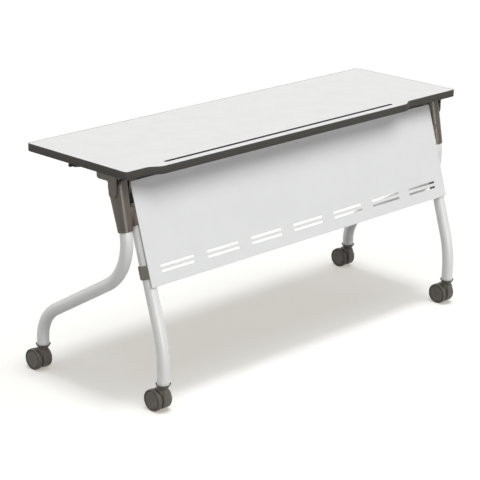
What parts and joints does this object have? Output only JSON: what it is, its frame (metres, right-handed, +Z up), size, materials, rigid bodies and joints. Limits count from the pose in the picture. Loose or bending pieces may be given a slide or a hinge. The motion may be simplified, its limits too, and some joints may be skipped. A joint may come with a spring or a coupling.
{
  "type": "flip top training table",
  "caption": "Narrow folding training table: a laminate top that tilts upright on two bent tube end frames, with a perforated modesty panel, a release bar and twin wheel casters.",
  "frame": {"origin": "on the floor under the middle of the table's overall box", "axes": "+X along the table, +Y towards the seated user, -Y the modesty panel side, +Z up"},
  "size_m": [1.5, 0.558, 0.72],
  "materials": {
    "laminate": "warm white laminate, satin",
    "edging": "dark grey edging",
    "frame_white": "silver white powder coat",
    "panel_white": "pale grey powder coat",
    "bracket": "taupe paint",
    "head": "taupe paint, satin",
    "trim": "taupe moulded plastic",
    "caster": "taupe moulded plastic",
    "wheel": "taupe moulded plastic",
    "bar": "dark paint",
    "steel": "zinc plated",
    "bush": "natural nylon",
    "rubber": "black rubber"
  },
  "bodies": {
    "frame": {"head_casting_left": "head", "head_cover_left": "trim", "pivot_bush_left": "bush", "stop_pad_left": "rubber", "front_leg_left": "frame_white", "rear_leg_left": "frame_white", "panel_clip_left": "trim", "panel_hanger_left": "trim", "head_casting_right": "head", "head_cover_right": "trim", "pivot_bush_right": "bush", "stop_pad_right": "rubber", "front_leg_right": "frame_white", "rear_leg_right": "frame_white", "panel_clip_right": "trim", "panel_hanger_right": "trim", "cross_beam": "bracket", "modesty_panel": "panel_white", "caster_socket_front_left": "trim", "caster_socket_front_right": "trim", "caster_socket_rear_left": "trim", "caster_socket_rear_right": "trim"},
    "top": {"top_board": "laminate", "edge_band": "edging", "groove_liner": "edging", "tilt_bracket_left": "bracket", "pivot_pin_left": "steel", "lever_pin_left": "steel", "lever_spring_left": "steel", "tilt_bracket_right": "bracket", "pivot_pin_right": "steel", "lever_pin_right": "steel", "lever_spring_right": "steel"},
    "release": {"release_bar": "bar", "release_lever_left": "bracket", "release_lever_right": "bracket"},
    "swivel_front_left": {"caster_stem_front_left": "steel", "caster_hood_front_left": "caster", "caster_axle_front_left": "steel"},
    "wheel_front_left_outboard": {"caster_wheel_front_left_outboard": "wheel"},
    "wheel_front_left_inboard": {"caster_wheel_front_left_inboard": "wheel"},
    "swivel_front_right": {"caster_stem_front_right": "steel", "caster_hood_front_right": "caster", "caster_axle_front_right": "steel"},
    "wheel_front_right_outboard": {"caster_wheel_front_right_outboard": "wheel"},
    "wheel_front_right_inboard": {"caster_wheel_front_right_inboard": "wheel"},
    "swivel_rear_left": {"caster_stem_rear_left": "steel", "caster_hood_rear_left": "caster", "caster_axle_rear_left": "steel"},
    "wheel_rear_left_outboard": {"caster_wheel_rear_left_outboard": "wheel"},
    "wheel_rear_left_inboard": {"caster_wheel_rear_left_inboard": "wheel"},
    "swivel_rear_right": {"caster_stem_rear_right": "steel", "caster_hood_rear_right": "caster", "caster_axle_rear_right": "steel"},
    "wheel_rear_right_outboard": {"caster_wheel_rear_right_outboard": "wheel"},
    "wheel_rear_right_inboard": {"caster_wheel_rear_right_inboard": "wheel"}
  },
  "joints": [
    {"name": "top_flip", "type": "hinge", "parent": "frame", "child": "top", "pos_m": [0, -0.119, 0.643], "axis": [1, 0, 0], "range_deg": [0, 90]},
    {"name": "release_lift", "type": "hinge", "parent": "top", "child": "release", "pos_m": [0, 0.049, 0.683], "axis": [1, 0, 0], "range_deg": [0, 10], "stiffness_Nm_per_rad": 2, "springref_deg": -11.46},
    {"name": "swivel_front_left", "type": "hinge", "parent": "frame", "child": "swivel_front_left", "pos_m": [-0.713, 0.224, 0.07], "axis": [0, 0, 1], "continuous": true},
    {"name": "roll_front_left_outboard", "type": "hinge", "parent": "swivel_front_left", "child": "wheel_front_left_outboard", "pos_m": [-0.7326, 0.2455, 0.0335], "axis": [1, 0, 0], "continuous": true},
    {"name": "roll_front_left_inboard", "type": "hinge", "parent": "swivel_front_left", "child": "wheel_front_left_inboard", "pos_m": [-0.6934, 0.2455, 0.0335], "axis": [1, 0, 0], "continuous": true},
    {"name": "swivel_front_right", "type": "hinge", "parent": "frame", "child": "swivel_front_right", "pos_m": [0.713, 0.224, 0.07], "axis": [0, 0, 1], "continuous": true},
    {"name": "roll_front_right_outboard", "type": "hinge", "parent": "swivel_front_right", "child": "wheel_front_right_outboard", "pos_m": [0.7326, 0.2455, 0.0335], "axis": [1, 0, 0], "continuous": true},
    {"name": "roll_front_right_inboard", "type": "hinge", "parent": "swivel_front_right", "child": "wheel_front_right_inboard", "pos_m": [0.6934, 0.2455, 0.0335], "axis": [1, 0, 0], "continuous": true},
    {"name": "swivel_rear_left", "type": "hinge", "parent": "frame", "child": "swivel_rear_left", "pos_m": [-0.6685, -0.256, 0.07], "axis": [0, 0, 1], "continuous": true},
    {"name": "roll_rear_left_outboard", "type": "hinge", "parent": "swivel_rear_left", "child": "wheel_rear_left_outboard", "pos_m": [-0.6881, -0.2345, 0.0335], "axis": [1, 0, 0], "continuous": true},
    {"name": "roll_rear_left_inboard", "type": "hinge", "parent": "swivel_rear_left", "child": "wheel_rear_left_inboard", "pos_m": [-0.6489, -0.2345, 0.0335], "axis": [1, 0, 0], "continuous": true},
    {"name": "swivel_rear_right", "type": "hinge", "parent": "frame", "child": "swivel_rear_right", "pos_m": [0.6685, -0.256, 0.07], "axis": [0, 0, 1], "continuous": true},
    {"name": "roll_rear_right_outboard", "type": "hinge", "parent": "swivel_rear_right", "child": "wheel_rear_right_outboard", "pos_m": [0.6881, -0.2345, 0.0335], "axis": [1, 0, 0], "continuous": true},
    {"name": "roll_rear_right_inboard", "type": "hinge", "parent": "swivel_rear_right", "child": "wheel_rear_right_inboard", "pos_m": [0.6489, -0.2345, 0.0335], "axis": [1, 0, 0], "continuous": true}
  ]
}
